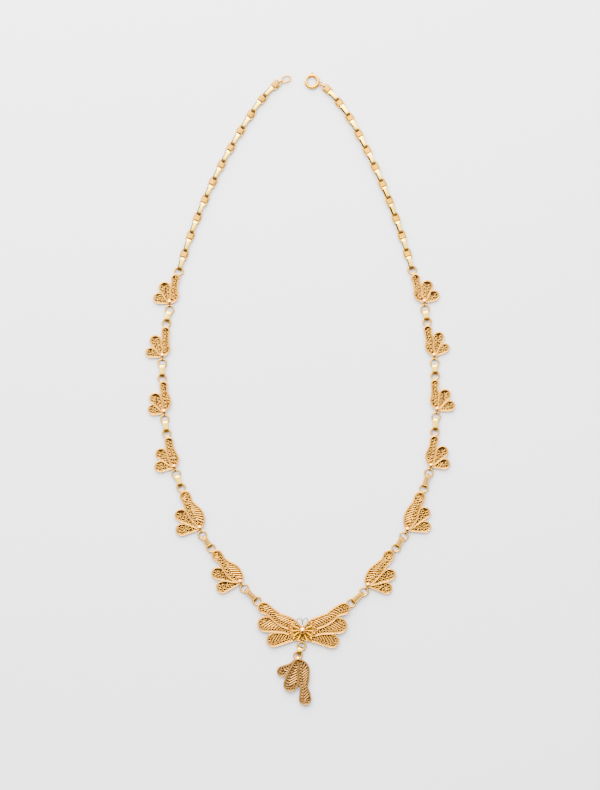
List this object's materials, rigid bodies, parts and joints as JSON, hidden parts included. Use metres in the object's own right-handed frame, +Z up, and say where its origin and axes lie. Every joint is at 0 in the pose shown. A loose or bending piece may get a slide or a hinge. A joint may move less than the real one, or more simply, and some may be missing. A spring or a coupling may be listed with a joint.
{
  "type": "filigree necklace",
  "caption": "Flat-lying necklace of pierced three-lobed plaques on a loop chain, with a winged centrepiece, a rosette, antennae, a hanging drop and a spring ring clasp.",
  "frame": {"origin": "middle of the bounding box at the surface that the necklace lies on", "axes": "+Y from the drop towards the clasp, +X towards the clasp's side, +Z up from the surface"},
  "size_m": [0.1086, 0.2216, 0.0032],
  "materials": {
    "chain_gold": "polished yellow gold",
    "filigree_gold": "pale matt gold wirework",
    "rosette_gold": "bright polished yellow gold",
    "antenna_wire": "darkened gold wire"
  },
  "bodies": {
    "necklace": {"clasp_ring": "chain_gold", "clasp_link": "chain_gold", "end_ring": "chain_gold", "end_link": "chain_gold", "chain_left": "chain_gold", "chain_right": "chain_gold", "plaque_left_1": "filigree_gold", "plaque_left_2": "filigree_gold", "plaque_left_3": "filigree_gold", "plaque_left_4": "filigree_gold", "plaque_left_5": "filigree_gold", "plaque_left_6": "filigree_gold", "plaque_right_1": "filigree_gold", "plaque_right_2": "filigree_gold", "plaque_right_3": "filigree_gold", "plaque_right_4": "filigree_gold", "plaque_right_5": "filigree_gold", "plaque_right_6": "filigree_gold", "ring_left_1": "chain_gold", "ring_left_2": "chain_gold", "ring_left_3": "chain_gold", "ring_left_4": "chain_gold", "ring_left_5": "chain_gold", "ring_left_6": "chain_gold", "ring_right_1": "chain_gold", "ring_right_2": "chain_gold", "ring_right_3": "chain_gold", "ring_right_4": "chain_gold", "ring_right_5": "chain_gold", "ring_right_6": "chain_gold", "link_left_1": "chain_gold", "link_left_2": "chain_gold", "link_left_3": "chain_gold", "link_left_4": "chain_gold", "link_left_5": "chain_gold", "link_left_6": "chain_gold", "link_right_1": "chain_gold", "link_right_2": "chain_gold", "link_right_3": "chain_gold", "link_right_4": "chain_gold", "link_right_5": "chain_gold", "link_right_6": "chain_gold", "butterfly": "filigree_gold", "rosette": "rosette_gold", "antennae": "antenna_wire", "drop": "filigree_gold", "drop_ring": "chain_gold", "drop_link": "chain_gold"},
    "bolt": {"clasp_bolt": "chain_gold"}
  },
  "joints": [
    {"name": "clasp_bolt_turn", "type": "hinge", "parent": "necklace", "child": "bolt", "pos_m": [0.00412, 0.10764, 0.0008], "axis": [0, 0, 1], "range_deg": [-45, 0], "stiffness_Nm_per_rad": 0.0001}
  ]
}
